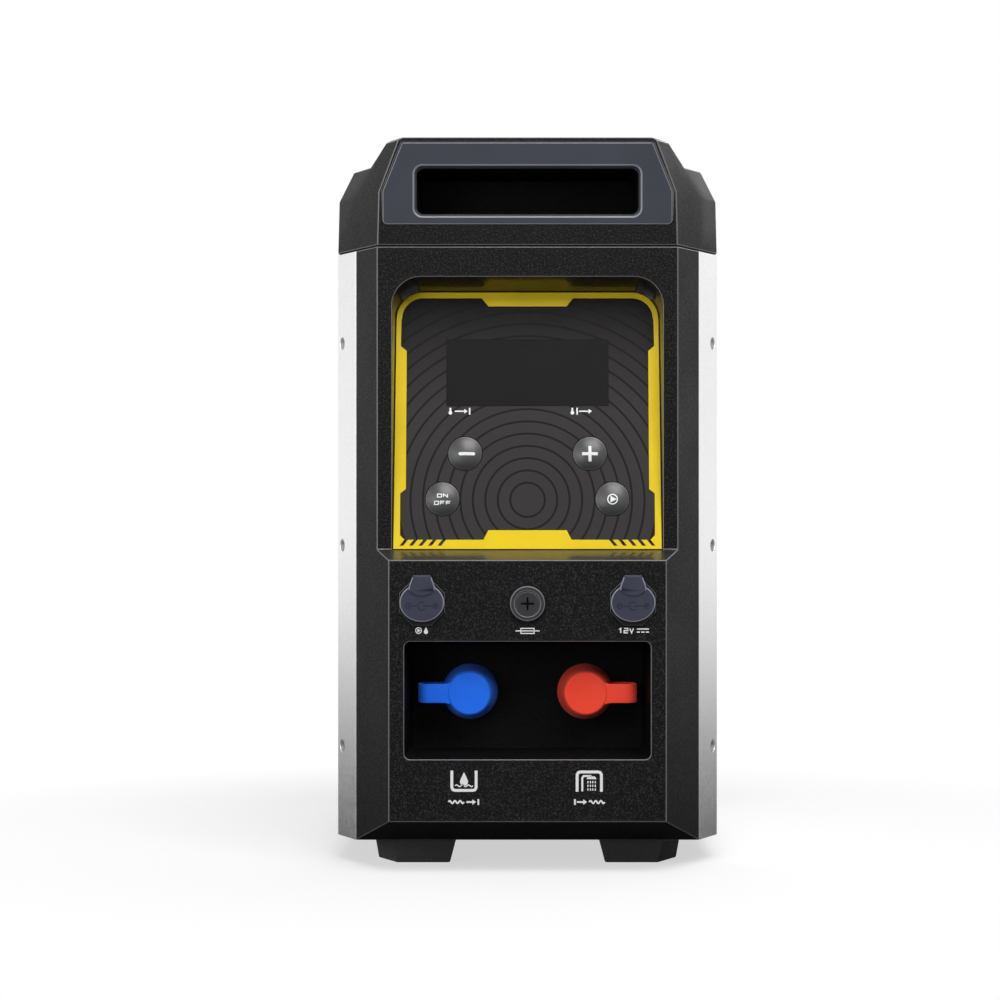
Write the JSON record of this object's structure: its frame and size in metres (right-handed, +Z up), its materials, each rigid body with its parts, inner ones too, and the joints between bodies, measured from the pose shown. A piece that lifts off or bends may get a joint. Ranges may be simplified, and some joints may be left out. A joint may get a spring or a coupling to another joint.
{
  "type": "portable propane water heater",
  "caption": "Portable gas water heater cabinet with chamfered corners, end grips, tilted control panel and capped water connections in a front recess.",
  "frame": {"origin": "on the floor, under the middle of the cabinet's overall box", "axes": "+X to the right as seen from the front, +Y from the control panel towards the gas connection, +Z up"},
  "size_m": [0.204, 0.396, 0.3817],
  "materials": {
    "cover_plastic": "fine grained black plastic",
    "foot_plastic": "black rubber",
    "side_steel": "brushed along its length",
    "plain_steel": "plain sheet",
    "zinc": "cast",
    "copper": "copper",
    "brass": "turned brass",
    "trim_grey": "grey plastic with a soft sheen",
    "panel_film": "grey film with darker rings",
    "panel_yellow": "yellow plastic",
    "display_black": "smoked window",
    "button_grey": "glossy dark grey",
    "socket_black": "black plastic",
    "rubber_dark": "dark rubber",
    "cap_blue": "soft blue cap",
    "cap_red": "soft red cap",
    "fuse_glass": "glass tube",
    "board_green": "circuit board",
    "ceramic_white": "glazed ceramic",
    "white_plastic": "white plastic",
    "module_grey": "moulded module"
  },
  "bodies": {
    "root": {"front_cover": "cover_plastic", "rear_cover": "cover_plastic", "top_cover": "cover_plastic", "side_panel_left": "side_steel", "side_panel_right": "side_steel", "base_plate": "plain_steel", "foot_front_left": "foot_plastic", "foot_front_right": "foot_plastic", "foot_rear_left": "foot_plastic", "foot_rear_right": "foot_plastic", "side_screws": "plain_steel", "grip_trim_front": "trim_grey", "grip_trim_rear": "trim_grey", "exhaust_grille": "plain_steel", "intake_grille": "plain_steel", "control_panel": "panel_film", "panel_frame": "panel_yellow", "display_window": "display_black", "display_board": "board_green", "pump_socket": "socket_black", "power_socket": "socket_black", "fuse_holder": "socket_black", "water_inlet": "brass", "water_outlet": "brass", "flow_sensor": "module_grey", "cold_pipe": "copper", "hot_pipe": "copper", "gas_inlet": "brass", "gas_pipe": "copper", "gas_valve": "zinc", "gas_solenoids": "plain_steel", "gas_manifold": "brass", "burner": "plain_steel", "combustion_chamber": "plain_steel", "heat_exchanger": "copper", "flue_hood": "plain_steel", "stack_frame": "plain_steel", "fan_housing": "zinc", "fan_motor": "plain_steel", "spark_electrode": "ceramic_white", "flame_sensor": "ceramic_white", "overheat_cutoff": "module_grey", "igniter_module": "module_grey", "tilt_switch": "module_grey", "control_box": "module_grey"},
    "button_minus": {"button_minus": "button_grey"},
    "button_plus": {"button_plus": "button_grey"},
    "button_power": {"button_power": "button_grey"},
    "button_pump": {"button_pump": "button_grey"},
    "pump_socket_cover": {"pump_socket_cover": "rubber_dark"},
    "power_socket_cover": {"power_socket_cover": "rubber_dark"},
    "fuse_link": {"fuse_link": "fuse_glass"},
    "fuse_cap": {"fuse_cap": "socket_black"},
    "inlet_cap": {"inlet_cap": "cap_blue", "inlet_strap": "cap_blue"},
    "outlet_cap": {"outlet_cap": "cap_red", "outlet_strap": "cap_red"},
    "fan_wheel": {"fan_wheel": "module_grey"},
    "flow_turbine": {"flow_turbine": "white_plastic"}
  },
  "joints": [
    {"name": "button_minus_press", "type": "slide", "parent": "root", "child": "button_minus", "axis": [0, 0.9892, -0.1464], "range_m": [0, 0.0012], "stiffness_N_per_m": 400},
    {"name": "button_plus_press", "type": "slide", "parent": "root", "child": "button_plus", "axis": [0, 0.9892, -0.1464], "range_m": [0, 0.0012], "stiffness_N_per_m": 400},
    {"name": "button_power_press", "type": "slide", "parent": "root", "child": "button_power", "axis": [0, 0.9892, -0.1464], "range_m": [0, 0.0012], "stiffness_N_per_m": 400},
    {"name": "button_pump_press", "type": "slide", "parent": "root", "child": "button_pump", "axis": [0, 0.9892, -0.1464], "range_m": [0, 0.0012], "stiffness_N_per_m": 400},
    {"name": "pump_cover_lift", "type": "hinge", "parent": "root", "child": "pump_socket_cover", "pos_m": [-0.0543, -0.19675, 0.1532], "axis": [-1, 0, 0], "range_deg": [0, 135]},
    {"name": "power_cover_lift", "type": "hinge", "parent": "root", "child": "power_socket_cover", "pos_m": [0.0543, -0.19675, 0.1532], "axis": [-1, 0, 0], "range_deg": [0, 135]},
    {"name": "fuse_pull", "type": "slide", "parent": "root", "child": "fuse_link", "axis": [0, -1, 0], "range_m": [0, 0.04]},
    {"name": "fuse_cap_turn", "type": "hinge", "parent": "fuse_link", "child": "fuse_cap", "pos_m": [0, -0.1968, 0.1397], "axis": [0, -1, 0], "range_deg": [0, 90]},
    {"name": "inlet_cap_pull", "type": "slide", "parent": "root", "child": "inlet_cap", "axis": [0, -1, 0], "range_m": [0, 0.045], "deforming": ["inlet_strap"]},
    {"name": "outlet_cap_pull", "type": "slide", "parent": "root", "child": "outlet_cap", "axis": [0, -1, 0], "range_m": [0, 0.045], "deforming": ["outlet_strap"]},
    {"name": "fan_spin", "type": "hinge", "parent": "root", "child": "fan_wheel", "pos_m": [0, 0.01, 0.0454], "axis": [0, 1, 0], "continuous": true},
    {"name": "turbine_spin", "type": "hinge", "parent": "root", "child": "flow_turbine", "pos_m": [-0.0303, -0.122, 0.0921], "axis": [0, 1, 0], "continuous": true}
  ]
}
